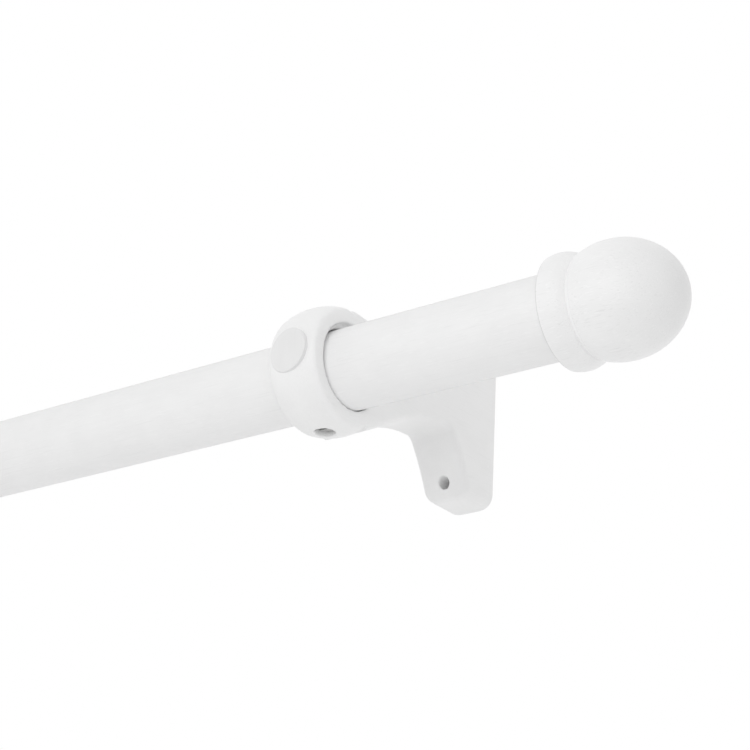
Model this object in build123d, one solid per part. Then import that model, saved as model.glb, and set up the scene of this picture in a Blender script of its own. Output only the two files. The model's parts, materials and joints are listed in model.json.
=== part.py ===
"""Wooden curtain rod: a round pole carried by two one-piece wall brackets, with a ball finial on each end.

Frame: X along the pole, Y from the room into the wall, Z up. The wall is the plane y = 0, and the origin
is the middle of the four wall-screw holes. Millimetres.
"""
import os
from math import cos, radians, sin, sqrt

from build123d import *

# Pole
pole_diameter = 28.0
pole_length = 1200.0
pole_end_chamfer = 0.6
end_overhang = 93.0          # ring centre to the pole's end

# Bracket, cut from one board, with a ball-shaped ring head
projection = 87.0            # wall to ring centre
board = 19.3                 # thickness of the board, along the pole
head_diameter = 44.6
head_edge = 1.6              # rounding between the ball and the flat ring faces
bore_clearance = 2.4         # ring bore over the pole, on the diameter
seat_gap = 0.25              # pole above the bottom of the bore

# Arm, from the ring head to the wall plate
neck_inset = 0.3             # arm edges lie this far inside the ball
neck_angle = 29.0            # rise of the arm's underside as it leaves the ring
neck_run = 23.0              # straight length of that rise
arch_depth = 27.5            # wall to the top of the arch under the arm
arch_drop = 0.6              # top of the arch below the ring centre
arm_height = 20.3            # arm above the top of the arch
arch_corner = 4.0            # inside corner between arm and wall plate

# Wall plate
plate_height = 63.4
plate_drop = 22.4            # ring centre to the plate's lower end
plate_thickness = 15.3       # at its two ends
plate_hollow = 0.9           # sag of the hollow front faces
plate_corner = 5.2           # rounded corners, seen from the room
edge_round = 2.0             # sanded front edges of arm and wall plate
back_edge_round = 0.6        # edges that meet the wall
screw_hole = 4.5
screw_spacing = 51.0

# Plug let into the ring's front
plug_diameter = 16.0
plug_depth = 4.0             # seat below the ball's surface at the plug's rim
plug_proud = 1.3             # face above the ball's surface at the plug's rim
plug_edge = 0.3

# Lock screw in the ring's underside
lock_shank = 4.0
lock_head = 6.4
lock_head_height = 2.0
lock_head_edge = 0.6
lock_slot_width = 1.0
lock_slot_depth = 0.9
lock_recess = 7.2            # counterbore round the screw's head
lock_wall = 3.2              # wood left between counterbore and bore

# Finial: a bead and a ball, turned in one piece
finial_length = 41.2
finial_back_edge = 0.5
bead_diameter = 37.8
bead_radius = 16.2
bead_centre = 3.1            # from the finial's back face
ball_diameter = 38.0
ball_centre = 19.6

# Peg that holds the finial on the pole
peg_diameter = 10.0
peg_in_finial = 20.0
peg_in_pole = 25.0
peg_chamfer = 1.0
peg_hole_spare = 1.5         # hole in the pole deeper than the peg
running_gap = 0.05           # radial clearance of peg in pole and of lock screw in ring

# Places that follow from the sizes
ring_x = pole_length / 2 - end_overhang
ring_z = plate_drop - plate_height / 2
pole_radius = pole_diameter / 2
bore_radius = pole_radius + bore_clearance / 2
head_radius = head_diameter / 2
pole_z = ring_z - bore_clearance / 2 + seat_gap
plug_rim = sqrt(head_radius**2 - (plug_diameter / 2) ** 2)
lock_seat = bore_radius + lock_wall
plate_middle = plate_height / 2 - plate_drop


def rod_x(radius, start, end):
    """Cylinder on the X axis, from x = start to x = end."""
    return Pos((start + end) / 2, 0, 0) * Rot(0, 90, 0) * Cylinder(radius, end - start)


def rod_y(radius, start, end):
    """Cylinder on the Y axis, from y = start to y = end."""
    return Pos(0, (start + end) / 2, 0) * Rot(90, 0, 0) * Cylinder(radius, end - start)


def rod_z(radius, start, end):
    """Cylinder on the Z axis, from z = start to z = end."""
    return Pos(0, 0, (start + end) / 2) * Cylinder(radius, end - start)


def make_pole():
    """Round pole on the X axis, with a peg hole in each end."""
    half = pole_length / 2
    body = rod_x(pole_radius, -half, half)
    body = chamfer(body.edges().filter_by(GeomType.CIRCLE), pole_end_chamfer)
    hole_radius = peg_diameter / 2 + running_gap
    hole_depth = peg_in_pole + peg_hole_spare
    body -= rod_x(hole_radius, half - hole_depth, half)
    body -= rod_x(hole_radius, -half, hole_depth - half)
    return body


def arm_profile():
    """Side outline of arm and wall plate, with the ring centre at 0, 0 and the wall at x = projection."""
    reach = head_radius - neck_inset
    slope = radians(neck_angle)
    rise = Vector(cos(slope), sin(slope))
    foot = Vector(reach * sin(slope), -reach * cos(slope))
    arch_start = foot + rise * neck_run
    arch_top = Vector(projection - arch_depth, -arch_drop)
    arm_top = arch_top + Vector(0, arm_height)
    low = -plate_drop
    high = plate_height - plate_drop
    front = projection - plate_thickness
    outline = [
        Line(foot, arch_start),
        TangentArc(arch_start, arch_top, tangent=rise),
        SagittaArc(arch_top, (front, low), plate_hollow),
        Polyline((front, low), (projection, low), (projection, high), (front, high)),
        SagittaArc((front, high), arm_top, plate_hollow),
        Polyline(arm_top, (0, reach), foot),
    ]
    face = make_face([edge for line in outline for edge in line.edges()])
    inside_corners = face.vertices().filter_by(lambda v: abs(v.X - arch_top.X) < 0.01)
    return fillet(inside_corners, arch_corner)


def is_front_edge(edge):
    """True for the outline edges of arm and plate that a hand can reach once the plate is on the wall."""
    start, end = edge.position_at(0), edge.position_at(1)
    at_wall = edge.center().Y > projection - 0.01
    in_ring = edge.center().Y < head_radius / 2 and edge.center().Z < head_radius - 2 * neck_inset
    across_board = edge.length > board - 0.01 and abs(end.X - start.X) > board - 0.01
    to_wall = abs(end.X - start.X) < 0.01 and abs(end.Z - start.Z) < 0.01
    return not (at_wall or in_ring or across_board or to_wall)


def make_arm():
    """Arm and wall plate: the side outline through the board, with its corners and edges rounded."""
    body = extrude(Plane.YZ * arm_profile(), board / 2, both=True)
    plate_corners = body.edges().filter_by(Axis.Y).filter_by(lambda e: e.center().Y > projection / 2)
    body = fillet(plate_corners, plate_corner)
    body = fillet(body.edges().filter_by(is_front_edge), edge_round)
    return fillet(body.faces().sort_by(Axis.Y)[-1].edges(), back_edge_round)


def make_bracket():
    """Ring head, arm and wall plate in one piece, with the ring centre at the origin."""
    head = Sphere(head_radius) & Box(board, head_diameter, head_diameter)
    head = fillet(head.edges().filter_by(GeomType.CIRCLE), head_edge)
    body = head + make_arm()
    body -= rod_x(bore_radius, -board, board)
    body -= rod_y(plug_diameter / 2, -head_diameter, plug_depth - plug_rim)
    body -= rod_z(lock_recess / 2, -head_diameter, -lock_seat)
    body -= rod_z(lock_shank / 2 + running_gap, -head_radius, 0)
    for side in (-1, 1):
        screw_z = plate_middle + side * screw_spacing / 2
        body -= Pos(0, 0, screw_z) * rod_y(screw_hole / 2, projection - arch_depth, projection + 1)
    return body


def make_front_plug():
    """Flat disc that fills the seat in the ring's front."""
    body = rod_y(plug_diameter / 2, -plug_rim - plug_proud, plug_depth - plug_rim)
    rim = body.edges().filter_by(GeomType.CIRCLE).sort_by(Axis.Y)[0]
    return fillet(rim, plug_edge)


def make_lock_screw():
    """Slotted screw, its head on the counterbore's floor and its tip flush with the ring's bore."""
    head_end = -lock_seat - lock_head_height
    head = rod_z(lock_head / 2, head_end, -lock_seat)
    head = fillet(head.edges().filter_by(GeomType.CIRCLE).sort_by(Axis.Z)[0], lock_head_edge)
    head -= Pos(0, 0, head_end) * Box(lock_head, lock_slot_width, 2 * lock_slot_depth)
    return head + rod_z(lock_shank / 2, -lock_seat, -bore_radius)


def upper_half(length, height):
    """Rectangle above the X axis, from x = 0 to x = length."""
    return Pos(length / 2, height / 2) * Rectangle(length, height)


def make_finial():
    """Bead and ball turned about X, with the back face at x = 0 and a blind hole for the peg."""
    bead = Pos(bead_centre, bead_diameter / 2 - bead_radius) * Circle(bead_radius)
    ball = Pos(ball_centre, 0) * Ellipse(finial_length - ball_centre, ball_diameter / 2)
    profile = (bead + ball) & upper_half(finial_length, bead_diameter)
    body = revolve(profile, Axis.X)
    back_rim = body.faces().sort_by(Axis.X)[0].edges()
    body = fillet(back_rim, finial_back_edge)
    return body - rod_x(peg_diameter / 2, 0, peg_in_finial)


def make_finial_peg():
    """Round peg, half in the finial (x > 0) and half in the pole (x < 0)."""
    body = rod_x(peg_diameter / 2, -peg_in_pole, peg_in_finial)
    return chamfer(body.edges().filter_by(GeomType.CIRCLE).sort_by(Axis.X)[0], peg_chamfer)


pole_axis = Pos(0, -projection, pole_z)
pieces = {"pole": pole_axis * make_pole()}
for name, ring_place, end_place in (
    ("left", Pos(-ring_x, -projection, ring_z), pole_axis * Pos(-pole_length / 2, 0, 0) * Rot(0, 0, 180)),
    ("right", Pos(ring_x, -projection, ring_z), pole_axis * Pos(pole_length / 2, 0, 0)),
):
    pieces["bracket_" + name] = ring_place * make_bracket()
    pieces["front_plug_" + name] = ring_place * make_front_plug()
    pieces["lock_screw_" + name] = ring_place * make_lock_screw()
    pieces["finial_" + name] = end_place * make_finial()
    pieces["finial_peg_" + name] = end_place * make_finial_peg()

os.makedirs("parts", exist_ok=True)
for name, piece in pieces.items():
    export_step(piece, "parts/" + name + ".step")
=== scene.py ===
"""White-painted wooden curtain rod: a round pole, two one-piece wall brackets and two ball finials.

X runs along the pole, Y from the room into the wall, Z up. The wall is the plane y = 0. Metres.
"""
import json
import math

import bmesh
import bpy
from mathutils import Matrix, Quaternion, Vector

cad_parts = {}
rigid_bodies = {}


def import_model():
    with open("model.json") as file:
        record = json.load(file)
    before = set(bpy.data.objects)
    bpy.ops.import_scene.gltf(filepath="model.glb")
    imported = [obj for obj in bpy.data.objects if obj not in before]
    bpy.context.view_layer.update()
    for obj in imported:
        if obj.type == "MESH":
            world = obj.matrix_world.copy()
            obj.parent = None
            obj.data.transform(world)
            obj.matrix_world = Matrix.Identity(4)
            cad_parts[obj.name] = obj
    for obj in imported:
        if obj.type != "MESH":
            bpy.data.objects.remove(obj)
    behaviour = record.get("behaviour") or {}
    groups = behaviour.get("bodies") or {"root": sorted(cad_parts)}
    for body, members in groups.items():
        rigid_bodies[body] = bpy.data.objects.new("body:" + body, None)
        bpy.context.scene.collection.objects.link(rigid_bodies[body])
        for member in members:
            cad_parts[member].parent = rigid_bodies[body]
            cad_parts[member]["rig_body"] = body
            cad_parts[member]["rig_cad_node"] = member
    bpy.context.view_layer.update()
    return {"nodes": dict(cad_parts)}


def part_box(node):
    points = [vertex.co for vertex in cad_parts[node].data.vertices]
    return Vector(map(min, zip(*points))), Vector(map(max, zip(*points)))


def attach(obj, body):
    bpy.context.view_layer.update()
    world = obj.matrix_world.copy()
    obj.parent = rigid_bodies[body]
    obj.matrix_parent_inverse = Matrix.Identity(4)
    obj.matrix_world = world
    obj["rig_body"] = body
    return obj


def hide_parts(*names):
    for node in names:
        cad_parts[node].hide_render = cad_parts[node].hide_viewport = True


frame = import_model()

bl_info = {
    "name": "Wooden curtain rod",
    "version": (1, 0, 0),
    "blender": (4, 5, 0),
    "location": "View3D > Sidebar > Curtain rod",
    "description": "Models and finishes a white-painted wooden curtain rod around its packed solids",
    "category": "Object",
}

SIDES = ("left", "right")

# Places and sizes that the packed solids give
POLE_LOW, POLE_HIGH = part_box("pole")
POLE_MIDDLE = (POLE_LOW + POLE_HIGH) / 2
POLE_RADIUS = (POLE_HIGH.z - POLE_LOW.z) / 2
BRACKET_LOW, BRACKET_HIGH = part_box("bracket_right")
RING_X = (BRACKET_LOW.x + BRACKET_HIGH.x) / 2
PLUG_LOW, PLUG_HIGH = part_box("front_plug_right")
PLUG_MIDDLE = (PLUG_LOW + PLUG_HIGH) / 2
SCREW_LOW, SCREW_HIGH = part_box("lock_screw_right")
SCREW_MIDDLE = (SCREW_LOW + SCREW_HIGH) / 2
FINIAL_LOW, FINIAL_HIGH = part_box("finial_right")
BALL_RADIUS = (FINIAL_HIGH.z - FINIAL_LOW.z) / 2
PEG_LOW, PEG_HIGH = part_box("finial_peg_right")
PEG_MIDDLE = (PEG_LOW + PEG_HIGH) / 2
PEG_RADIUS = (PEG_HIGH.z - PEG_LOW.z) / 2

# Turns that lay a primitive, or the grain of a pattern, along an axis
TURN_TO_AXIS = {"X": (0, math.pi / 2, 0), "Y": (math.pi / 2, 0, 0), "Z": (0, 0, 0)}
GRAIN_ALONG = {"X": (0, 0, 0), "Y": (0, 0, -math.pi / 2), "Z": (0, math.pi / 2, 0)}

# How finely round shapes are divided
POLE_SIDES = 192
BORE_SIDES = 160             # of the bore's liner
PLUG_SIDES = 128
FILLER_SIDES = 96
SCREW_SIDES = 96
FLUTE_SIDES = 4              # sides of the peg to each flute
TURNING_STEPS = 160          # steps of the finial's spin
HOLE_EDGE_STEPS = 4
BACK_EDGE_STEPS = 5
BEAD_STEPS = 24
SHOULDER_STEPS = 20
BALL_STEPS = 80
HALVINGS = 30                # steps towards the crossing of bead and ball

# Limits for picking faces and edges, and for shading
SAME_PLACE = 1e-6            # places closer than this are one
SAME_CAD_PLACE = 2e-6        # the same, on a solid's mesh
NEAR = 1e-5                  # as good as on a surface
FACING = 0.9                 # part of a face's normal along the axis that it faces
SQUARE = 0.99                # the same, for a face square to the axis
LENGTHWISE = 0.01            # the same, for a face that runs along the axis
RIM_SHARE = 0.99             # share of the radius beyond which an edge is on the rim
CRISP_ANGLE = 35             # edges sharper than this many degrees stay crisp
PEG_CRISP_ANGLE = 25

CUTTER_SPARE = 2             # length of a cutter over what it cuts
SHOULDER_RUN = 0.75          # share of the bead's shoulder that goes on in the bead's direction
FLUTE_SHARE = 0.5            # share of the peg's round that is fluted
SANDING_FACTOR = 0.5         # strength of one smoothing pass
LAMP_ASIDE = 0.15            # way from the pole's end to its lamp, for each metre into the room
LAMP_ABOVE = 0.1
CAMERA_NEAR = 0.01           # nearest distance that the camera shows


def length_property(name, description, default):
    """A size in metres that the sidebar shows."""
    return bpy.props.FloatProperty(
        name=name, description=description, default=default, min=0.0, unit="LENGTH", precision=5
    )


def colour_property(name, description, default):
    """A surface colour that the sidebar shows."""
    return bpy.props.FloatVectorProperty(
        name=name, description=description, default=default, subtype="COLOR", size=3, min=0.0, max=1.0
    )


def grey(level):
    """A neutral colour."""
    return (level, level, level)


def level_property(name, description, default):
    """A light level that the sidebar shows; 1 lights a white surface to white."""
    return bpy.props.FloatProperty(name=name, description=description, default=default, min=0.0, max=4.0)


def group_property(name, kind):
    """A group of settings, described by its own docstring."""
    return bpy.props.PointerProperty(name=name, description=kind.__doc__, type=kind)


class PoleSizes(bpy.types.PropertyGroup):
    """Sizes of the pole"""

    radius: length_property("Radius", "Half the pole's diameter", POLE_RADIUS)
    end_round: length_property("End rounding", "Sanded edge round each end of the pole", 0.0006)
    peg_hole_radius: length_property("Peg hole radius", "Hole for the finial's peg", 0.00505)
    peg_hole_depth: length_property("Peg hole depth", "Depth of that hole", 0.0265)


class BracketSizes(bpy.types.PropertyGroup):
    """Liner in the ring's bore, eased shoulders of the arm, and sanding of the surface"""

    bore_radius: length_property("Bore radius", "Half the diameter of the ring's bore", 0.0152)
    liner_recess: length_property("Liner recess", "Ring's face to the liner in its bore", 0.0024)
    liner_gap: length_property("Liner gap", "Pole to the liner round it", 0.0004)
    liner_overlap: length_property("Liner overlap", "How far the liner is let into the bore", 0.0005)
    liner_low: length_property("Liner's lower end", "Pole's axis to the lower ends of the liner", 0.010)
    neck_side: length_property("Neck side", "Board's middle to the shoulders that are eased", 0.005)
    neck_start: length_property("Neck start", "Ring's middle to the start of the neck on the arm", 0.001)
    neck_end: length_property("Neck end", "Ring's middle to the end of the neck", 0.016)
    neck_height: length_property("Neck height", "Ring's middle to the part that is eased", 0.0195)
    neck_drop: length_property("Neck drop", "How far the shoulders are lowered", 0.0007)
    neck_reach: length_property("Neck reach", "How far the easing fades out", 0.005)
    grain_size: length_property("Surface cell", "Cell size of the sanded surface", 0.00048)
    sanding: bpy.props.IntProperty(
        name="Sanding", description="Smoothing passes over the cut edges", default=4, min=0, max=30
    )


class PlugSizes(bpy.types.PropertyGroup):
    """Sizes of the round plug in the ring's front"""

    seat_depth: length_property("Seat depth", "Seat below the ball's surface at the plug's rim", 0.004)
    joint_gap: length_property("Joint gap", "Plug's rim to the edge of its seat", 0.00016)
    edge_round: length_property("Edge rounding", "Rounded rim of the plug's face", 0.0003)
    sink: length_property("Sink", "How far the plug is pressed in", 0.0005)
    shift: length_property("Shift", "How far the plug sits off the seat's middle", 0.00065)
    lean: bpy.props.FloatProperty(
        name="Lean", description="Turn of the plug's face, one side pressed in more than the other",
        default=math.radians(5.5), subtype="ANGLE",
    )


class LockScrewSizes(bpy.types.PropertyGroup):
    """Sizes of the slotted screw under the ring"""

    shank_radius: length_property("Shank radius", "Outside radius of the thread", 0.002)
    thread_pitch: length_property("Thread pitch", "Rise of the thread in one turn", 0.0007)
    thread_depth: length_property("Thread depth", "Depth of the thread", 0.0004)
    head_height: length_property("Head height", "Height of the screw's head", 0.002)
    head_round: length_property("Head rounding", "Rounded rim of the head", 0.0006)
    slot_width: length_property("Slot width", "Width of the driver slot", 0.001)
    slot_depth: length_property("Slot depth", "Depth of the driver slot", 0.0009)


class FinialSizes(bpy.types.PropertyGroup):
    """Sizes of the bead and the ball, turned in one piece"""

    back_round: length_property("Back rounding", "Edge of the finial's back face", 0.0005)
    bead_diameter: length_property("Bead diameter", "Thickness of the bead", 0.0378)
    bead_radius: length_property("Bead radius", "Radius of the bead's round", 0.0094)
    bead_centre: length_property("Bead centre", "Back face to the middle of the bead's round", 0.0031)
    ball_centre: length_property("Ball centre", "Back face to the middle of the ball", 0.0196)
    groove_depth: length_property("Groove depth", "Groove below the crossing of bead and ball", 0.0006)
    groove_round: length_property("Groove rounding", "Paint at the bottom of the groove", 0.0002)
    bead_shoulder: length_property("Bead shoulder", "Length of the bead's fall into the groove", 0.004)
    ball_shoulder: length_property("Ball shoulder", "Length of the ball's rise out of the groove", 0.0015)
    hole_round: length_property("Hole rounding", "Edge round the hole for the peg", 0.0004)


class PegSizes(bpy.types.PropertyGroup):
    """Sizes of the fluted peg between finial and pole"""

    end_chamfer: length_property("End chamfer", "Softened edge at the peg's ends", 0.001)
    flute_depth: length_property("Flute depth", "Depth of the pressed flutes", 0.0003)
    flute_edge: length_property("Flute edge", "Sloping edge round each flute", 0.00008)
    flutes: bpy.props.IntProperty(
        name="Flutes", description="Number of flutes", default=18, min=6, max=40
    )


class Finishes(bpy.types.PropertyGroup):
    """Colours of paint, wood and steel"""

    paint: colour_property("Paint", "Satin white paint of pole, brackets and finials", grey(0.862))
    plug_paint: colour_property("Plug paint", "Paint of the plugs, a little greyer", grey(0.785))
    # Painted shade: a darker grey on the finial's back rim stands in for the shade along its joint with
    # the pole
    joint_shade_paint: colour_property("Joint shade", "Painted shade along the finial's back rim", grey(0.70))
    # Painted highlight: a lighter grey on the ball's side of the finial's groove stands in for light
    # caught there
    groove_highlight_paint: colour_property("Groove highlight", "Painted highlight on the ball's side of the finial's groove", grey(0.915))
    pore: colour_property("Pore", "Paint sunk into the wood's pores", grey(0.68))
    beech: colour_property("Beech", "Bare beech", (0.60, 0.42, 0.27))
    beech_dark: colour_property("Beech, dark", "Rays and late wood of the beech", (0.40, 0.25, 0.15))
    steel: colour_property("Steel", "Zinc-plated steel", (0.68, 0.68, 0.67))


class StageSettings(bpy.types.PropertyGroup):
    """Floor, light and camera"""

    floor_drop: length_property("Floor drop", "Middle of the brackets to the floor", 0.30)
    floor_size: length_property("Floor size", "Side of the floor", 8.0)
    floor_colour: colour_property("Floor", "Pale floor", grey(0.82))
    light_ends: level_property("Light from the ends", "Soft light along the pole, from both ends", 0.83)
    light_above: level_property("Light from above", "Soft light from above", 0.90)
    light_below: level_property("Light from below", "Soft light from below", 0.98)
    light_wall: level_property("Light from the wall", "Soft light from the wall's side", 1.10)
    light_room: level_property("Light from the room", "Soft light from the room's side", 0.50)
    lamp_level: level_property("Lamps", "Light of the lamp before each end of the pole", 0.355)
    lamp_distance: length_property("Lamp distance", "Pole's end to the lamp before it", 0.75)
    lamp_size: length_property("Lamp size", "Side of each square lamp", 0.6)
    card_distance: length_property("Card distance", "Pole's end to the dark card beyond it", 0.23)
    card_size: length_property("Card size", "Side of each dark card", 0.13)
    lens: bpy.props.FloatProperty(
        name="Lens", description="Focal length", default=94.55, min=1.0, unit="CAMERA"
    )
    camera_place: bpy.props.FloatVectorProperty(
        name="Camera place", description="Where the camera stands", default=(0.88917, -0.55668, -0.27793),
        subtype="TRANSLATION", unit="LENGTH", size=3, precision=5,
    )
    azimuth: bpy.props.FloatProperty(
        name="Azimuth", description="Camera's turn from the wall's normal towards the right end",
        default=math.radians(37.664), subtype="ANGLE",
    )
    elevation: bpy.props.FloatProperty(
        name="Elevation", description="Camera's height angle; it looks up from below",
        default=math.radians(-23.933), subtype="ANGLE",
    )
    roll: bpy.props.FloatProperty(
        name="Roll", description="Tilt of the picture", default=math.radians(3.192), subtype="ANGLE"
    )


class CurtainRodSettings(bpy.types.PropertyGroup):
    """All settings of the curtain rod"""

    pole: group_property("Pole", PoleSizes)
    bracket: group_property("Bracket", BracketSizes)
    plug: group_property("Plug", PlugSizes)
    lock_screw: group_property("Lock screw", LockScrewSizes)
    finial: group_property("Finial", FinialSizes)
    peg: group_property("Peg", PegSizes)
    finishes: group_property("Finishes", Finishes)
    stage: group_property("Stage", StageSettings)


# Modelling helpers


def deselect_all():
    """Leaves edit mode and selects nothing, so that the next operator acts on its own piece alone."""
    if bpy.context.object and bpy.context.object.mode != "OBJECT":
        bpy.ops.object.mode_set(mode="OBJECT")
    bpy.ops.object.select_all(action="DESELECT")


def activate(piece):
    """Selects one piece and makes it active, in object mode."""
    deselect_all()
    piece.select_set(True)
    bpy.context.view_layer.objects.active = piece


def name_piece(name):
    """Names the active piece and puts its place into its mesh."""
    piece = bpy.context.object
    piece.name = name
    piece.data.name = name
    bpy.ops.object.transform_apply(location=True, rotation=True, scale=True)
    return piece


def add_cylinder(name, radius, length, middle, axis, vertices):
    """A capped cylinder along one axis, as the start of a turned piece."""
    deselect_all()
    bpy.ops.mesh.primitive_cylinder_add(
        vertices=vertices, radius=radius, depth=length, location=middle, rotation=TURN_TO_AXIS[axis]
    )
    return name_piece(name)


def add_block(name, middle, size):
    """A block of the given size along X, Y and Z, as a cutter."""
    deselect_all()
    bpy.ops.mesh.primitive_cube_add(size=1.0, location=middle)
    bpy.context.object.scale = size
    return name_piece(name)


def middle_of(part):
    """Middle of a face or an edge of an edit mesh."""
    if isinstance(part, bmesh.types.BMFace):
        return part.calc_center_median()
    return (part.verts[0].co + part.verts[1].co) / 2


def select_where(piece, kind, test):
    """Goes to edit mode and selects the faces or edges that pass the test."""
    bpy.ops.object.mode_set(mode="EDIT")
    bpy.ops.mesh.select_mode(type=kind)
    bpy.ops.mesh.select_all(action="DESELECT")
    mesh = bmesh.from_edit_mesh(piece.data)
    parts = mesh.faces if kind == "FACE" else mesh.edges
    for part in parts:
        if test(part):
            part.select_set(True)
    mesh.select_flush_mode()
    bmesh.update_edit_mesh(piece.data)


def lies_at(axis, place):
    """A test for edges that lie wholly at one place along an axis."""
    return lambda edge: all(abs(getattr(vertex.co, axis) - place) < SAME_PLACE for vertex in edge.verts)


def arc(centre, half_width, half_height, start, end, steps):
    """Points on a round or oval arc in a plane, from one angle to another in degrees."""
    points = []
    for step in range(steps + 1):
        angle = math.radians(start + (end - start) * step / steps)
        across, along = half_width * math.cos(angle), half_height * math.sin(angle)
        points.append((centre[0] + across, centre[1] + along))
    return points


def bend(start, corner, end, steps):
    """Points on a curve that leaves its start towards the corner and reaches its end from there."""
    points = []
    for step in range(steps + 1):
        share = step / steps
        pulls = ((start, (1 - share) ** 2), (corner, 2 * share * (1 - share)), (end, share**2))
        points.append(tuple(sum(pull * place[axis] for place, pull in pulls) for axis in (0, 1)))
    return points


def draw_line(name, points):
    """A chain of edges through the points, extruded from one vertex; left in edit mode, all selected."""
    deselect_all()
    bpy.ops.mesh.primitive_plane_add(size=1.0, location=(0, 0, 0))
    piece = name_piece(name)
    bpy.ops.object.mode_set(mode="EDIT")
    bpy.ops.mesh.select_mode(type="VERT")
    bpy.ops.mesh.select_all(action="SELECT")
    bpy.ops.mesh.merge(type="CENTER")
    bpy.ops.transform.translate(value=points[0])
    for start, end in zip(points, points[1:]):
        bpy.ops.mesh.extrude_vertices_move(TRANSFORM_OT_translate={"value": end - start})
    bpy.ops.mesh.select_all(action="SELECT")
    return piece


def apply_modifier(piece, kind, **settings):
    """Adds a modifier with its settings and applies it."""
    activate(piece)
    bpy.ops.object.modifier_add(type=kind)
    modifier = piece.modifiers[-1]
    for key, value in settings.items():
        setattr(modifier, key, value)
    bpy.ops.object.modifier_apply(modifier=modifier.name)


def cut_away(piece, cutter):
    """Cuts a piece with another one, which is then gone."""
    apply_modifier(piece, "BOOLEAN", operation="DIFFERENCE", object=cutter, solver="EXACT")
    bpy.data.objects.remove(cutter)


def round_edges(piece, test, size, segments):
    """Bevels the edges that pass the test, and leaves edit mode."""
    select_where(piece, "EDGE", test)
    bpy.ops.mesh.bevel(offset=size, segments=segments, affect="EDGES")
    bpy.ops.object.mode_set(mode="OBJECT")


def close_mesh():
    """In edit mode, merges doubles and turns all faces outwards."""
    bpy.ops.mesh.select_all(action="SELECT")
    bpy.ops.mesh.remove_doubles(threshold=SAME_PLACE)
    bpy.ops.mesh.normals_make_consistent(inside=False)


def shade(piece, degrees=CRISP_ANGLE):
    """Smooth shading, with edges sharper than the angle left crisp."""
    activate(piece)
    bpy.ops.object.shade_smooth_by_angle(angle=math.radians(degrees))


def paint_faces(piece, index, test):
    """Gives the faces that pass the test the piece's material of that index."""
    activate(piece)
    select_where(piece, "FACE", test)
    piece.active_material_index = index
    bpy.ops.object.material_slot_assign()
    bpy.ops.object.mode_set(mode="OBJECT")


def dress(piece, *materials):
    """Puts the materials on the piece, the first one all over."""
    piece.data.materials.clear()
    for material in materials:
        piece.data.materials.append(material)


def tie(piece, body, node):
    """Parents a finished piece to its body and hides the solid that it stands for."""
    activate(piece)
    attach(piece, body)
    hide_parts(node)


def copy_along(piece, name, shift):
    """A copy with its own mesh, moved along the pole."""
    activate(piece)
    bpy.ops.object.duplicate()
    bpy.ops.transform.translate(value=(shift, 0, 0))
    return name_piece(name)


def copy_to_other_end(piece, name):
    """A copy with its own mesh, turned half round a plumb line through the pole's middle."""
    activate(piece)
    bpy.ops.object.duplicate()
    bpy.ops.object.mode_set(mode="EDIT")
    bpy.ops.mesh.select_all(action="SELECT")
    bpy.ops.transform.rotate(value=math.pi, orient_axis="Z", center_override=POLE_MIDDLE)
    bpy.ops.object.mode_set(mode="OBJECT")
    return name_piece(name)


# Materials

# Cells of the noises in painted wood, along the grain and twice across it
STREAK_CELL = (0.045, 0.0010, 0.0010)
MOTTLE_CELL = (0.014, 0.010, 0.010)
PEEL_CELL = (0.0011, 0.0011, 0.0011)
PATCH_CELL = (0.022, 0.009, 0.009)
PORE_CELL = (0.0042, 0.00036, 0.00036)
FLECK_CELL = (0.0026, 0.00042, 0.00042)
SCRATCH_CELL = (0.011, 0.00034, 0.00034)

# Cells of the noises in beech and steel
RAY_CELL = (0.0020, 0.00028, 0.00028)
TURNING_CELL = (0.002, 0.002, 0.0001)
CLOUD_CELL = (0.0012, 0.0012, 0.0012)

# Parts of a noise's range that are used, the narrow ones for marks that are few
SOFT_RANGE = (0.2, 0.8)
MOTTLE_RANGE = (0.25, 0.75)
PATCH_RANGE = (0.36, 0.64)
PORE_RANGE = (0.66, 0.76)
FLECK_RANGE = (0.68, 0.76)
SCRATCH_RANGE = (0.73, 0.77)
RAY_RANGE = (0.60, 0.70)

# What they do to the paint's tone, to the roughness and to the height
MOTTLE_TONE = (0.986, 1.010)
STREAK_TONE = (-0.006, 0.006)
FLECK_TONE = (0.0, 0.035)
SCRATCH_TONE = (0.0, -0.06)
STREAK_ROUGHNESS = (0.38, 0.50)
MOTTLE_ROUGHNESS = (-0.04, 0.04)
STREAK_HEIGHT = 0.5
PEEL_HEIGHT = 0.25
PORE_DEPTH = 0.8
RAY_SHARE = 0.55
RING_SHARE = 0.30
BEECH_ROUGHNESS = (0.62, 0.78)
STEEL_ROUGHNESS = (0.28, 0.46)
STEEL_SHADE = 0.82           # darker clouds of the zinc, as a share of its colour

# Axis of the grain, share of the pores' colour and wear of each painted surface
PAINTED_SURFACES = {
    "satin_pole": ("X", 0.10, 0.55),
    "satin_bracket": ("Y", 0.10, 0.40),
    "satin_plug": ("Z", 0.06, 0.30),
    "satin_finial": ("X", 0.20, 1.0),
    # Painted shade along the finial's back rim, in a darker paint
    "satin_joint_shade": ("X", 0.26, 1.0),
    # Painted highlight on the ball's side of the finial's groove, in a lighter paint
    "satin_groove_highlight": ("X", 0.10, 0.5),
}

FLOOR_FADE = (1.6, 3.6)      # from the floor's middle to where it starts to fade and is gone
CARD_COLOUR = grey(0.02)


def link(tree, source, target):
    """Joins two node sockets."""
    tree.links.new(source, target)


def add_node(tree, kind, values=None, **settings):
    """Adds a shader node with its settings and unlinked input values."""
    node = tree.nodes.new(kind)
    for key, value in settings.items():
        setattr(node, key, value)
    for key, value in (values or {}).items():
        node.inputs[key].default_value = value
    return node


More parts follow.
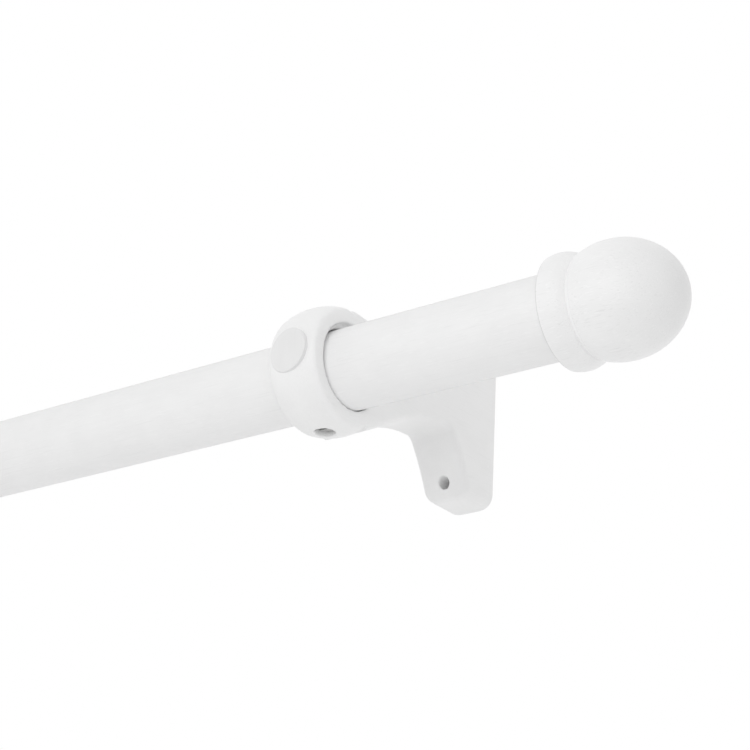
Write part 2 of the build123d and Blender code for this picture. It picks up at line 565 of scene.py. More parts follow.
def new_group(name, inputs, outputs):
    """An empty shader node group with named sockets; returns the tree, its input and its output node."""
    tree = bpy.data.node_groups.new(name, "ShaderNodeTree")
    for socket_name, kind in inputs:
        tree.interface.new_socket(name=socket_name, in_out="INPUT", socket_type=kind)
    for socket_name, kind in outputs:
        tree.interface.new_socket(name=socket_name, in_out="OUTPUT", socket_type=kind)
    return tree, tree.nodes.new("NodeGroupInput"), tree.nodes.new("NodeGroupOutput")


def stretched_noise(tree, vector, cell, detail):
    """Noise whose cells have the given size along X, Y and Z."""
    cells_per_metre = tuple(1 / side for side in cell)
    scale = add_node(tree, "ShaderNodeVectorMath", {1: cells_per_metre}, operation="MULTIPLY")
    noise = add_node(tree, "ShaderNodeTexNoise", {"Scale": 1.0, "Detail": detail, "Roughness": 0.55})
    link(tree, vector, scale.inputs[0])
    link(tree, scale.outputs["Vector"], noise.inputs["Vector"])
    return noise.outputs["Fac"]


def remap(tree, value, low, high, to_low=0.0, to_high=1.0, smooth=True):
    """Maps a value from one range to another."""
    node = add_node(
        tree, "ShaderNodeMapRange",
        {"From Min": low, "From Max": high, "To Min": to_low, "To Max": to_high},
        interpolation_type="SMOOTHSTEP" if smooth else "LINEAR",
    )
    link(tree, value, node.inputs["Value"])
    return node.outputs["Result"]


def maths(tree, operation, first, second):
    """A Math node on two sockets, or on a socket and a number."""
    node = add_node(tree, "ShaderNodeMath", operation=operation)
    for slot_index, value in enumerate((first, second)):
        if isinstance(value, (int, float)):
            node.inputs[slot_index].default_value = value
        else:
            link(tree, value, node.inputs[slot_index])
    return node.outputs["Value"]


def mix_colours(tree, factor, first, second, blend="MIX"):
    """A colour mix of two colour sockets."""
    node = add_node(tree, "ShaderNodeMix", data_type="RGBA", blend_type=blend)
    for socket_name, value in (("Factor_Float", factor), ("A_Color", first), ("B_Color", second)):
        socket = next(s for s in node.inputs if s.identifier == socket_name)
        if isinstance(value, (int, float)):
            socket.default_value = value
        else:
            link(tree, value, socket)
    return next(s for s in node.outputs if s.identifier == "Result_Color")


def painted_wood_group():
    """Satin paint over planed wood: brush streaks, soft mottling and pores that the paint has sunk into.

    The grain runs along the X of the vector.
    """
    tree, given, result = new_group(
        "Painted wood",
        [("Vector", "NodeSocketVector"), ("Paint", "NodeSocketColor"), ("Pore", "NodeSocketColor"),
         ("Pore share", "NodeSocketFloat"), ("Wear", "NodeSocketFloat")],
        [("Colour", "NodeSocketColor"), ("Roughness", "NodeSocketFloat"), ("Height", "NodeSocketFloat")],
    )
    vector = given.outputs["Vector"]
    streak = stretched_noise(tree, vector, STREAK_CELL, 3.0)
    mottle = stretched_noise(tree, vector, MOTTLE_CELL, 2.0)
    peel = stretched_noise(tree, vector, PEEL_CELL, 1.0)
    patch = remap(tree, stretched_noise(tree, vector, PATCH_CELL, 1.0), *PATCH_RANGE)
    pore = remap(tree, stretched_noise(tree, vector, PORE_CELL, 0.0), *PORE_RANGE)
    fleck = remap(tree, stretched_noise(tree, vector, FLECK_CELL, 0.0), *FLECK_RANGE, *FLECK_TONE)
    scratch = stretched_noise(tree, vector, SCRATCH_CELL, 0.0)
    scratch = remap(tree, scratch, *SCRATCH_RANGE, *SCRATCH_TONE)

    shown = maths(tree, "MULTIPLY", pore, patch)
    sunk = maths(tree, "MULTIPLY", shown, given.outputs["Pore share"])
    colour = mix_colours(tree, sunk, given.outputs["Paint"], given.outputs["Pore"])
    mottle_tone = remap(tree, mottle, *MOTTLE_RANGE, *MOTTLE_TONE)
    grain = maths(tree, "ADD", mottle_tone, remap(tree, streak, *SOFT_RANGE, *STREAK_TONE))
    worn = maths(tree, "MULTIPLY", maths(tree, "ADD", fleck, scratch), given.outputs["Wear"])
    tone = maths(tree, "ADD", grain, worn)
    shade_of = add_node(tree, "ShaderNodeCombineColor")
    for channel in ("Red", "Green", "Blue"):
        link(tree, tone, shade_of.inputs[channel])
    toned = mix_colours(tree, 1.0, colour, shade_of.outputs["Color"], "MULTIPLY")
    link(tree, toned, result.inputs["Colour"])

    streak_roughness = remap(tree, streak, *SOFT_RANGE, *STREAK_ROUGHNESS)
    mottle_roughness = remap(tree, mottle, *SOFT_RANGE, *MOTTLE_ROUGHNESS)
    link(tree, maths(tree, "ADD", streak_roughness, mottle_roughness), result.inputs["Roughness"])

    streak_height = maths(tree, "MULTIPLY", streak, STREAK_HEIGHT)
    height = maths(tree, "ADD", streak_height, maths(tree, "MULTIPLY", peel, PEEL_HEIGHT))
    height = maths(tree, "SUBTRACT", height, maths(tree, "MULTIPLY", sunk, PORE_DEPTH))
    link(tree, height, result.inputs["Height"])
    return tree


def beech_group():
    """Bare beech: growth rings round the X of the vector, and short dark rays along it."""
    tree, given, result = new_group(
        "Bare beech",
        [("Vector", "NodeSocketVector"), ("Wood", "NodeSocketColor"), ("Ray", "NodeSocketColor")],
        [("Colour", "NodeSocketColor"), ("Roughness", "NodeSocketFloat"), ("Height", "NodeSocketFloat")],
    )
    vector = given.outputs["Vector"]
    rings = add_node(
        tree, "ShaderNodeTexWave",
        {
            "Scale": 190.0, "Distortion": 2.2,
            "Detail": 2.0, "Detail Scale": 0.35, "Detail Roughness": 0.55,
        },
        wave_type="RINGS", rings_direction="X",
    )
    link(tree, vector, rings.inputs["Vector"])
    ray = remap(tree, stretched_noise(tree, vector, RAY_CELL, 0.0), *RAY_RANGE)
    ray = maths(tree, "MULTIPLY", ray, RAY_SHARE)
    dark = maths(tree, "ADD", ray, maths(tree, "MULTIPLY", rings.outputs["Fac"], RING_SHARE))
    colour = mix_colours(tree, dark, given.outputs["Wood"], given.outputs["Ray"])
    link(tree, colour, result.inputs["Colour"])
    link(tree, remap(tree, dark, 0.0, 1.0, *BEECH_ROUGHNESS), result.inputs["Roughness"])
    link(tree, maths(tree, "MULTIPLY", dark, -1.0), result.inputs["Height"])
    return tree


def blank_material(name):
    """A new material; returns it with its node tree and its Principled shader."""
    material = bpy.data.materials.new(name)
    material.use_nodes = True
    return material, material.node_tree, material.node_tree.nodes["Principled BSDF"]


def start_material(name, group, turn):
    """A material with a Principled shader fed by a surface group on turned Object coordinates."""
    material, tree, shader = blank_material(name)
    place = add_node(tree, "ShaderNodeTexCoord")
    mapping = add_node(tree, "ShaderNodeMapping", {"Rotation": turn})
    surface = add_node(tree, "ShaderNodeGroup", node_tree=group)
    bump = add_node(tree, "ShaderNodeBump", {"Strength": 0.25, "Distance": 0.0002})
    link(tree, place.outputs["Object"], mapping.inputs["Vector"])
    link(tree, mapping.outputs["Vector"], surface.inputs["Vector"])
    link(tree, surface.outputs["Colour"], shader.inputs["Base Color"])
    link(tree, surface.outputs["Roughness"], shader.inputs["Roughness"])
    link(tree, surface.outputs["Height"], bump.inputs["Height"])
    link(tree, bump.outputs["Normal"], shader.inputs["Normal"])
    return material, surface, shader


def paint_material(name, colour):
    """White paint on wood, for one of the painted surfaces."""
    known = bpy.data.materials.get(name)
    if known:
        return known
    grain_axis, pore_share, wear = PAINTED_SURFACES[name]
    finishes = bpy.context.scene.curtain_rod.finishes
    group = bpy.data.node_groups.get("Painted wood") or painted_wood_group()
    material, surface, shader = start_material(name, group, GRAIN_ALONG[grain_axis])
    surface.inputs["Paint"].default_value = (*colour, 1)
    surface.inputs["Pore"].default_value = (*finishes.pore, 1)
    surface.inputs["Pore share"].default_value = pore_share
    surface.inputs["Wear"].default_value = wear
    shader.inputs["Specular IOR Level"].default_value = 0.4
    return material


def beech_material():
    """Bare beech, as on the pegs and the pole's cut ends."""
    known = bpy.data.materials.get("beech_wood")
    if known:
        return known
    finishes = bpy.context.scene.curtain_rod.finishes
    group = bpy.data.node_groups.get("Bare beech") or beech_group()
    material, surface, _ = start_material("beech_wood", group, GRAIN_ALONG["X"])
    surface.inputs["Wood"].default_value = (*finishes.beech, 1)
    surface.inputs["Ray"].default_value = (*finishes.beech_dark, 1)
    return material


def steel_material():
    """Zinc-plated steel with fine turning marks."""
    finishes = bpy.context.scene.curtain_rod.finishes
    material, tree, shader = blank_material("zinc_steel")
    place = add_node(tree, "ShaderNodeTexCoord")
    turned = stretched_noise(tree, place.outputs["Object"], TURNING_CELL, 2.0)
    cloud = stretched_noise(tree, place.outputs["Object"], CLOUD_CELL, 2.0)
    link(tree, remap(tree, turned, *SOFT_RANGE, *STEEL_ROUGHNESS), shader.inputs["Roughness"])
    ramp = add_node(tree, "ShaderNodeValToRGB")
    ramp.color_ramp.elements[0].color = (*(STEEL_SHADE * c for c in finishes.steel), 1)
    ramp.color_ramp.elements[1].color = (*finishes.steel, 1)
    link(tree, cloud, ramp.inputs["Fac"])
    link(tree, ramp.outputs["Color"], shader.inputs["Base Color"])
    shader.inputs["Metallic"].default_value = 1.0
    bump = add_node(tree, "ShaderNodeBump", {"Strength": 0.2, "Distance": 0.00005})
    link(tree, turned, bump.inputs["Height"])
    link(tree, bump.outputs["Normal"], shader.inputs["Normal"])
    return material


def floor_material(colour):
    """Pale matt floor that fades out towards its rim and can't be seen from below."""
    material, tree, shader = blank_material("pale_floor")
    shader.inputs["Base Color"].default_value = (*colour, 1)
    shader.inputs["Roughness"].default_value = 0.9
    shader.inputs["Specular IOR Level"].default_value = 0.1
    place = add_node(tree, "ShaderNodeTexCoord")
    reach = add_node(tree, "ShaderNodeVectorMath", operation="LENGTH")
    clear = add_node(tree, "ShaderNodeBsdfTransparent")
    mix = add_node(tree, "ShaderNodeMixShader")
    side = add_node(tree, "ShaderNodeNewGeometry")
    path = add_node(tree, "ShaderNodeLightPath")
    link(tree, place.outputs["Object"], reach.inputs[0])
    rim = remap(tree, reach.outputs["Value"], *FLOOR_FADE)
    below = maths(tree, "MULTIPLY", side.outputs["Backfacing"], path.outputs["Is Camera Ray"])
    link(tree, maths(tree, "MAXIMUM", rim, below), mix.inputs["Fac"])
    link(tree, shader.outputs["BSDF"], mix.inputs[1])
    link(tree, clear.outputs["BSDF"], mix.inputs[2])
    link(tree, mix.outputs["Shader"], tree.nodes["Material Output"].inputs["Surface"])
    return material


def card_material():
    """Dull black card."""
    known = bpy.data.materials.get("black_card")
    if known:
        return known
    material, _, shader = blank_material("black_card")
    shader.inputs["Base Color"].default_value = (*CARD_COLOUR, 1)
    shader.inputs["Roughness"].default_value = 1.0
    shader.inputs["Specular IOR Level"].default_value = 0.0
    return material


def white_world(stage):
    """Soft light from all round, with plain white where camera, mirror and glass rays look."""
    world = bpy.data.worlds.new("white_room")
    world.use_nodes = True
    tree = world.node_tree
    light = tree.nodes["Background"]
    light.inputs["Color"].default_value = (1, 1, 1, 1)
    place = add_node(tree, "ShaderNodeTexCoord")
    way = add_node(tree, "ShaderNodeSeparateXYZ")
    link(tree, place.outputs["Generated"], way.inputs["Vector"])
    share = {axis: maths(tree, "MULTIPLY", way.outputs[axis], way.outputs[axis]) for axis in "XYZ"}
    level = maths(tree, "MULTIPLY", share["X"], stage.light_ends)
    for axis, low, high in (
        ("Y", stage.light_room, stage.light_wall),
        ("Z", stage.light_below, stage.light_above),
    ):
        is_high = maths(tree, "GREATER_THAN", way.outputs[axis], 0.0)
        side = remap(tree, is_high, 0.0, 1.0, low, high, smooth=False)
        level = maths(tree, "ADD", level, maths(tree, "MULTIPLY", share[axis], side))
    link(tree, level, light.inputs["Strength"])
    white = add_node(tree, "ShaderNodeBackground", {"Color": (1, 1, 1, 1), "Strength": 1.0})
    path = add_node(tree, "ShaderNodeLightPath")
    mix = add_node(tree, "ShaderNodeMixShader")
    seen = maths(tree, "MAXIMUM", path.outputs["Is Camera Ray"], path.outputs["Is Glossy Ray"])
    link(tree, maths(tree, "MAXIMUM", seen, path.outputs["Is Transmission Ray"]), mix.inputs["Fac"])
    link(tree, light.outputs["Background"], mix.inputs[1])
    link(tree, white.outputs["Background"], mix.inputs[2])
    link(tree, mix.outputs["Shader"], tree.nodes["World Output"].inputs["Surface"])
    return world


# Operators, one for each piece or pair of like pieces


class CURTAIN_ROD_OT_pole(bpy.types.Operator):
    """Round pole with sanded ends, bare end grain and a peg hole in each end"""

    bl_idname = "curtain_rod.pole"
    bl_label = "Pole"

    def execute(self, context):
        sizes = context.scene.curtain_rod.pole
        half = (POLE_HIGH.x - POLE_LOW.x) / 2
        pole = add_cylinder("painted_pole", sizes.radius, 2 * half, POLE_MIDDLE, "X", POLE_SIDES)
        for side in (-1, 1):
            select_where(pole, "FACE", lambda face: face.normal.x * side > FACING)
            bpy.ops.mesh.inset(thickness=sizes.radius - sizes.peg_hole_radius)
            bpy.ops.mesh.extrude_region_move(
                TRANSFORM_OT_translate={"value": (-side * sizes.peg_hole_depth, 0, 0)}
            )

        def is_rim(edge):
            off_axis = middle_of(edge) - POLE_MIDDLE
            at_end = all(abs(abs(vertex.co.x) - half) < SAME_PLACE for vertex in edge.verts)
            return at_end and off_axis.yz.length > RIM_SHARE * sizes.radius

        round_edges(pole, is_rim, sizes.end_round, segments=3)
        paint = context.scene.curtain_rod.finishes.paint
        dress(pole, paint_material("satin_pole", paint), beech_material())

        def is_bare(face):
            off_axis = (middle_of(face) - POLE_MIDDLE).yz.length
            return abs(face.normal.x) > SQUARE or off_axis < sizes.peg_hole_radius + NEAR

        paint_faces(pole, 1, is_bare)
        shade(pole)
        tie(pole, "pole", "pole")
        return {"FINISHED"}


class CURTAIN_ROD_OT_brackets(bpy.types.Operator):
    """Two wall brackets, their cut edges softened by sanding and paint"""

    bl_idname = "curtain_rod.brackets"
    bl_label = "Brackets"

    def fill_plug_seat(self, bracket, depth, overlap):
        """Joins a disc of filler to the bracket, which closes the plug's seat up to its rim.

        It is let into the seat's floor by the overlap, and into its wall by a third of that.
        """
        radius = (PLUG_HIGH.z - PLUG_LOW.z) / 2 + overlap / 3
        middle = Vector((PLUG_MIDDLE.x, PLUG_HIGH.y + (overlap - depth) / 2, PLUG_MIDDLE.z))
        add_cylinder("seat_filler", radius, depth + overlap, middle, "Y", FILLER_SIDES)
        self.join_to(bracket)

    def line_bore(self, bracket, sizes):
        """Joins a liner to the bracket that fills the bore round the pole, except below it."""
        length = BRACKET_HIGH.x - BRACKET_LOW.x - 2 * sizes.liner_recess
        ring_middle = Vector((RING_X, POLE_MIDDLE.y, PLUG_MIDDLE.z))
        pole_place = Vector((RING_X, POLE_MIDDLE.y, POLE_MIDDLE.z))
        radius = sizes.bore_radius + sizes.liner_overlap
        liner = add_cylinder("bore_liner", radius, length, ring_middle, "X", BORE_SIDES)
        room, reach = POLE_RADIUS + sizes.liner_gap, CUTTER_SPARE * length
        cut_away(liner, add_cylinder("liner_cutter", room, reach, pole_place, "X", BORE_SIDES))
        low_place = pole_place - Vector((0, 0, sizes.liner_low + radius / 2))
        low_size = (reach, CUTTER_SPARE * 2 * radius, radius)
        cut_away(liner, add_block("liner_cutter", low_place, low_size))
        activate(liner)
        self.join_to(bracket)

    def ease_neck(self, bracket, sizes):
        """Lowers the arm's shoulders just behind the ring, so that the ball stands clear of the arm."""

        def is_neck(face):
            place = middle_of(face)
            behind = place.y - POLE_MIDDLE.y
            above = place.z - PLUG_MIDDLE.z
            aside = abs(place.x - PLUG_MIDDLE.x)
            at_shoulder = aside > sizes.neck_side and above > sizes.neck_height
            return at_shoulder and sizes.neck_start < behind < sizes.neck_end

        activate(bracket)
        select_where(bracket, "FACE", is_neck)
        bpy.ops.transform.translate(
            value=(0, 0, -sizes.neck_drop), use_proportional_edit=True,
            proportional_edit_falloff="SMOOTH", proportional_size=sizes.neck_reach,
        )
        bpy.ops.object.mode_set(mode="OBJECT")

    def join_to(self, bracket):
        """Joins the selected filling to the bracket."""
        bracket.select_set(True)
        bpy.context.view_layer.objects.active = bracket
        bpy.ops.object.join()

    def execute(self, context):
        sizes = context.scene.curtain_rod.bracket
        activate(frame["nodes"]["bracket_right"])
        bpy.ops.object.duplicate()
        bpy.ops.object.parent_clear(type="CLEAR_KEEP_TRANSFORM")
        right = name_piece("painted_bracket_right")
        del right["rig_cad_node"], right["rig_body"]
        bpy.ops.object.mode_set(mode="EDIT")
        bpy.ops.mesh.select_all(action="SELECT")
        bpy.ops.mesh.remove_doubles(threshold=SAME_CAD_PLACE)
        self.fill_plug_seat(right, context.scene.curtain_rod.plug.seat_depth, sizes.grain_size)
        self.line_bore(right, sizes)
        apply_modifier(
            right, "REMESH", mode="VOXEL", voxel_size=sizes.grain_size, use_smooth_shade=True
        )
        apply_modifier(right, "SMOOTH", factor=SANDING_FACTOR, iterations=sizes.sanding)
        self.ease_neck(right, sizes)
        paint = context.scene.curtain_rod.finishes.paint
        dress(right, paint_material("satin_bracket", paint))
        left = copy_along(right, "painted_bracket_left", -2 * RING_X)
        for side, piece in zip(SIDES, (left, right)):
            tie(piece, "brackets", "bracket_" + side)
        return {"FINISHED"}


class CURTAIN_ROD_OT_plugs(bpy.types.Operator):
    """Flat round plugs in the rings' fronts, pressed in with a slight lean"""

    bl_idname = "curtain_rod.plugs"
    bl_label = "Front plugs"

    def execute(self, context):
        sizes = context.scene.curtain_rod.plug
        radius = (PLUG_HIGH.z - PLUG_LOW.z) / 2 - sizes.joint_gap
        depth = PLUG_HIGH.y - PLUG_LOW.y
        right = add_cylinder("painted_plug_right", radius, depth, PLUG_MIDDLE, "Y", PLUG_SIDES)
        round_edges(right, lies_at("y", PLUG_LOW.y), sizes.edge_round, segments=4)
        paint = context.scene.curtain_rod.finishes.plug_paint
        dress(right, paint_material("satin_plug", paint))
        bpy.ops.transform.translate(value=(-sizes.shift, sizes.sink, 0))
        face_middle = (PLUG_MIDDLE.x - sizes.shift, PLUG_LOW.y + sizes.sink, PLUG_MIDDLE.z)
        bpy.ops.transform.rotate(value=sizes.lean, orient_axis="Z", center_override=face_middle)
        name_piece("painted_plug_right")
        shade(right)
        left = copy_along(right, "painted_plug_left", -2 * RING_X)
        for side, piece in zip(SIDES, (left, right)):
            tie(piece, "brackets", "front_plug_" + side)
        return {"FINISHED"}


class CURTAIN_ROD_OT_lock_screws(bpy.types.Operator):
    """Slotted screws under the rings, with a cut thread"""

    bl_idname = "curtain_rod.lock_screws"
    bl_label = "Lock screws"

    def turn_head(self, sizes, seat, radius):
        """The screw's head, its outer rim rounded."""
        middle = Vector((SCREW_MIDDLE.x, SCREW_MIDDLE.y, (SCREW_LOW.z + seat) / 2))
        head = add_cylinder(
            "steel_lock_screw_right", radius, sizes.head_height, middle, "Z", SCREW_SIDES
        )
        round_edges(head, lies_at("z", SCREW_LOW.z), sizes.head_round, segments=5)
        return head

    def raise_thread(self, screw, sizes, seat, radius):
        """Raises the shank from the head's inner face, in and out by turns as a thread's ridges are."""
        select_where(screw, "FACE", lambda face: face.normal.z > FACING)
        bpy.ops.mesh.inset(thickness=radius - sizes.shank_radius)
        flanks = 2 * int((SCREW_HIGH.z - seat) / sizes.thread_pitch)
        rise = (SCREW_HIGH.z - seat) / flanks
        ratio = 1 - sizes.thread_depth / sizes.shank_radius
        for flank in range(flanks):
            bpy.ops.mesh.extrude_region_move(TRANSFORM_OT_translate={"value": (0, 0, rise)})
            scale = ratio if flank % 2 == 0 else 1 / ratio
            bpy.ops.transform.resize(value=(scale, scale, 1))
        bpy.ops.object.mode_set(mode="OBJECT")

    def execute(self, context):
        sizes = context.scene.curtain_rod.lock_screw
        seat = SCREW_LOW.z + sizes.head_height
        head_radius = (SCREW_HIGH.x - SCREW_LOW.x) / 2
        right = self.turn_head(sizes, seat, head_radius)
        self.raise_thread(right, sizes, seat, head_radius)
        slot_place = (SCREW_MIDDLE.x, SCREW_MIDDLE.y, SCREW_LOW.z)
        slot_size = (CUTTER_SPARE * 2 * head_radius, sizes.slot_width, 2 * sizes.slot_depth)
        cut_away(right, add_block("slot_cutter", slot_place, slot_size))
        dress(right, steel_material())
        shade(right)
        left = copy_along(right, "steel_lock_screw_left", -2 * RING_X)
        for side, piece in zip(SIDES, (left, right)):
            tie(piece, "lock_screw_" + side, "lock_screw_" + side)
        return {"FINISHED"}


class CURTAIN_ROD_OT_finials(bpy.types.Operator):
    """Bead-and-ball finials, turned about the pole's axis"""

    bl_idname = "curtain_rod.finials"
    bl_label = "Finials"

    def groove_angle(self, sizes, bead_axis, half_length):
        """Angle on the bead's round at which it runs into the ball, found by halving."""
        inside, outside = 0.0, math.pi / 2
        for _ in range(HALVINGS):
            angle = (inside + outside) / 2
            x = sizes.bead_centre + sizes.bead_radius * math.cos(angle)
            radius = bead_axis + sizes.bead_radius * math.sin(angle)
            if math.hypot((x - sizes.ball_centre) / half_length, radius / BALL_RADIUS) < 1:
                inside = angle
            else:
                outside = angle
        return outside

    def profile(self, sizes):
        """Outline as (x, radius) in three stretches: peg hole and back, bead to the groove, and ball."""
        bead_axis = sizes.bead_diameter / 2 - sizes.bead_radius
        half_length = FINIAL_HIGH.x - FINIAL_LOW.x - sizes.ball_centre
        hole_depth = PEG_HIGH.x - FINIAL_LOW.x
        hole_round, back_round, bead_radius = sizes.hole_round, sizes.back_round, sizes.bead_radius
        back = math.pi - math.acos((sizes.bead_centre - back_round) / bead_radius)
        rim = bead_axis + bead_radius * math.sin(back) - back_round
        mouth = PEG_RADIUS + hole_round
        hole = [
            (hole_depth, 0.0),
            (hole_depth, PEG_RADIUS),
            *arc((hole_round, mouth), hole_round, hole_round, -90, -180, HOLE_EDGE_STEPS),
            *arc((back_round, rim), back_round, back_round, 180, 90, BACK_EDGE_STEPS)[:-1],
        ]
        crossing = self.groove_angle(sizes, bead_axis, half_length)
        groove_x = sizes.bead_centre + bead_radius * math.cos(crossing)
        groove = (groove_x, bead_axis + bead_radius * math.sin(crossing) - sizes.groove_depth)
        fall = math.acos((groove_x - sizes.bead_shoulder - sizes.bead_centre) / bead_radius)
        bead_turn = (math.degrees(back), math.degrees(fall))
        bead = arc((sizes.bead_centre, bead_axis), bead_radius, bead_radius, *bead_turn, BEAD_STEPS)
        run = SHOULDER_RUN * sizes.bead_shoulder
        corner = (bead[-1][0] + run * math.sin(fall), bead[-1][1] - run * math.cos(fall))
        bead += bend(bead[-1], corner, groove, SHOULDER_STEPS)[1:]
        rise = math.degrees(math.acos((groove_x + sizes.ball_shoulder - sizes.ball_centre) / half_length))
        ball = arc((sizes.ball_centre, 0.0), half_length, BALL_RADIUS, rise, 0, BALL_STEPS)
        return hole, bead, ball

    def execute(self, context):
        sizes = context.scene.curtain_rod.finial
        start = Vector((FINIAL_LOW.x, POLE_MIDDLE.y, POLE_MIDDLE.z))
        hole, bead, ball = self.profile(sizes)
        points = [start + Vector((x, 0, radius)) for x, radius in hole + bead + ball]
        right = draw_line("painted_finial_right", points)
        bpy.ops.mesh.spin(steps=TURNING_STEPS, angle=2 * math.pi, center=start, axis=(1, 0, 0))
        close_mesh()
        groove_x = FINIAL_LOW.x + bead[-1][0]
        round_edges(right, lies_at("x", groove_x), sizes.groove_round, segments=3)
        finishes = context.scene.curtain_rod.finishes
        # Besides paint and bare beech: a darker paint as painted shade on the back rim, and a lighter one
        # as painted highlight on the groove's ball side
        dress(
            right, paint_material("satin_finial", finishes.paint), beech_material(),
            paint_material("satin_joint_shade", finishes.joint_shade_paint),
            paint_material("satin_groove_highlight", finishes.groove_highlight_paint),
        )

        def off_axis(face):
            return (middle_of(face) - start).yz.length

        def in_peg_hole(face):
            return off_axis(face) < PEG_RADIUS + NEAR and middle_of(face).x < PEG_HIGH.x + NEAR

        # Faces of the back rim that get the painted shade
        def gets_joint_shade(face):
            return middle_of(face).x < start.x + sizes.back_round and off_axis(face) > POLE_RADIUS

        # Faces on the ball's side of the groove that get the painted highlight
        def gets_groove_highlight(face):
            return sizes.groove_round < middle_of(face).x - groove_x < sizes.ball_shoulder

        for index, test in enumerate((in_peg_hole, gets_joint_shade, gets_groove_highlight), start=1):
            paint_faces(right, index, test)
        shade(right)
        left = copy_to_other_end(right, "painted_finial_left")
        for side, piece in zip(SIDES, (left, right)):
            tie(piece, "finial_" + side, "finial_" + side)
        return {"FINISHED"}


class CURTAIN_ROD_OT_pegs(bpy.types.Operator):
    """Fluted beech pegs that hold the finials on the pole"""

    bl_idname = "curtain_rod.pegs"
    bl_label = "Finial pegs"

    def execute(self, context):
        sizes = context.scene.curtain_rod.peg
        length, sides = PEG_HIGH.x - PEG_LOW.x, FLUTE_SIDES * sizes.flutes
        right = add_cylinder("beech_peg_right", PEG_RADIUS, length, PEG_MIDDLE, "X", sides)

        def is_rim(edge):
            return abs(edge.verts[0].co.x - edge.verts[1].co.x) < SAME_PLACE

        round_edges(right, is_rim, sizes.end_chamfer, segments=2)

        def is_flute(face):
            off_axis = middle_of(face) - PEG_MIDDLE
            turn = math.atan2(off_axis.z, off_axis.y) / (2 * math.pi) * sizes.flutes
            long_face = abs(face.normal.x) < LENGTHWISE
            return long_face and (turn - math.floor(turn)) < FLUTE_SHARE

        select_where(right, "FACE", is_flute)
        bpy.ops.mesh.inset(thickness=sizes.flute_edge, use_individual=False)
        bpy.ops.transform.shrink_fatten(value=-sizes.flute_depth)
        bpy.ops.object.mode_set(mode="OBJECT")
        dress(right, beech_material())
        shade(right, PEG_CRISP_ANGLE)
        left = copy_to_other_end(right, "beech_peg_left")
        for side, piece in zip(SIDES, (left, right)):
            tie(piece, "finial_" + side, "finial_peg_" + side)
        return {"FINISHED"}


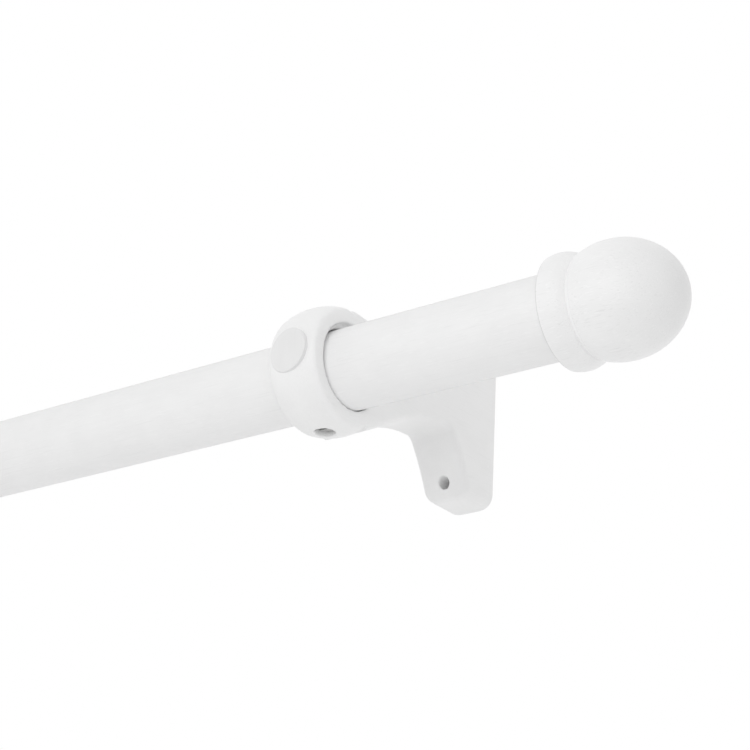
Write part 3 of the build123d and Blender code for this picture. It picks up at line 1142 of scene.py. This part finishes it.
class CURTAIN_ROD_OT_stage(bpy.types.Operator):
    """Pale floor, soft white light, a lamp and a dark card at each end, and the camera"""

    bl_idname = "curtain_rod.stage"
    bl_label = "Stage"

    def add_lamp(self, stage, name, aim, direction, floor):
        """A square soft lamp that faces one end of the pole and leaves the floor out.

        Its level is the share of white that it adds at the pole's end.
        """
        towards = Vector(direction).normalized()
        deselect_all()
        bpy.ops.object.light_add(type="AREA", location=aim + towards * stage.lamp_distance)
        lamp = bpy.context.object
        lamp.name = name
        lamp.rotation_euler = towards.to_track_quat("Z", "Y").to_euler()
        lamp.data.size = stage.lamp_size
        lamp.data.energy = stage.lamp_level * math.pi**2 * stage.lamp_distance**2
        floor.select_set(True)
        bpy.ops.object.light_linking_receivers_link(link_state="EXCLUDE")

    def add_card(self, stage, name, aim, end):
        """A dark card beyond one end that shades the finial's outer side, and that no camera sees."""
        deselect_all()
        bpy.ops.mesh.primitive_plane_add(
            size=stage.card_size, location=aim + Vector((end * stage.card_distance, 0, 0)),
            rotation=TURN_TO_AXIS["X"],
        )
        card = name_piece(name)
        card.visible_camera = False
        card.visible_glossy = False
        card.visible_transmission = False
        dress(card, card_material())

    def add_floor(self, stage):
        """A floor that takes the object's shadow and throws no light or shade back."""
        deselect_all()
        bpy.ops.mesh.primitive_plane_add(size=stage.floor_size, location=(0, 0, -stage.floor_drop))
        floor = name_piece("floor")
        dress(floor, floor_material(stage.floor_colour))
        floor.visible_diffuse = False
        floor.visible_shadow = False
        return floor

    def add_camera(self, stage):
        """The camera, placed, turned and zoomed as for the photograph."""
        level = math.cos(stage.elevation)
        back = Vector((
            math.sin(stage.azimuth) * level, -math.cos(stage.azimuth) * level, math.sin(stage.elevation)
        ))
        aim = (-back).to_track_quat("-Z", "Y") @ Quaternion((0, 0, 1), stage.roll)
        deselect_all()
        bpy.ops.object.camera_add(location=stage.camera_place, rotation=aim.to_euler())
        camera = bpy.context.object
        camera.name = "photo_camera"
        camera.data.lens = stage.lens
        camera.data.clip_start = CAMERA_NEAR
        return camera

    def execute(self, context):
        stage = context.scene.curtain_rod.stage
        floor = self.add_floor(stage)
        context.scene.world = white_world(stage)
        for side, end in zip(SIDES, (-1, 1)):
            aim = Vector((end * POLE_HIGH.x, POLE_MIDDLE.y, POLE_MIDDLE.z))
            self.add_lamp(stage, "lamp_" + side, aim, (end * LAMP_ASIDE, -1.0, LAMP_ABOVE), floor)
            self.add_card(stage, "card_" + side, aim, end)
        context.scene.view_settings.view_transform = "Standard"
        context.scene.camera = self.add_camera(stage)
        return {"FINISHED"}


class CURTAIN_ROD_PT_panel(bpy.types.Panel):
    """Lists the pieces of the curtain rod"""

    bl_idname = "CURTAIN_ROD_PT_panel"
    bl_label = "Curtain rod"
    bl_space_type = "VIEW_3D"
    bl_region_type = "UI"
    bl_category = "Curtain rod"

    def draw(self, context):
        for operator in OPERATORS:
            self.layout.operator(operator.bl_idname)


SETTINGS = (
    PoleSizes, BracketSizes, PlugSizes, LockScrewSizes, FinialSizes, PegSizes, Finishes, StageSettings,
    CurtainRodSettings,
)
OPERATORS = (
    CURTAIN_ROD_OT_pole, CURTAIN_ROD_OT_brackets, CURTAIN_ROD_OT_plugs, CURTAIN_ROD_OT_lock_screws,
    CURTAIN_ROD_OT_finials, CURTAIN_ROD_OT_pegs, CURTAIN_ROD_OT_stage,
)
CLASSES = (*SETTINGS, *OPERATORS, CURTAIN_ROD_PT_panel)


def register():
    """Makes the settings, operators and panel known."""
    for cls in CLASSES:
        bpy.utils.register_class(cls)
    bpy.types.Scene.curtain_rod = group_property("Curtain rod", CurtainRodSettings)


def unregister():
    """Takes them away again."""
    del bpy.types.Scene.curtain_rod
    for cls in reversed(CLASSES):
        bpy.utils.unregister_class(cls)


def main():
    """Builds all pieces and the stage."""
    register()
    bpy.ops.curtain_rod.pole()
    bpy.ops.curtain_rod.brackets()
    bpy.ops.curtain_rod.plugs()
    bpy.ops.curtain_rod.lock_screws()
    bpy.ops.curtain_rod.finials()
    bpy.ops.curtain_rod.pegs()
    bpy.ops.curtain_rod.stage()


if __name__ == "__main__":
    main()
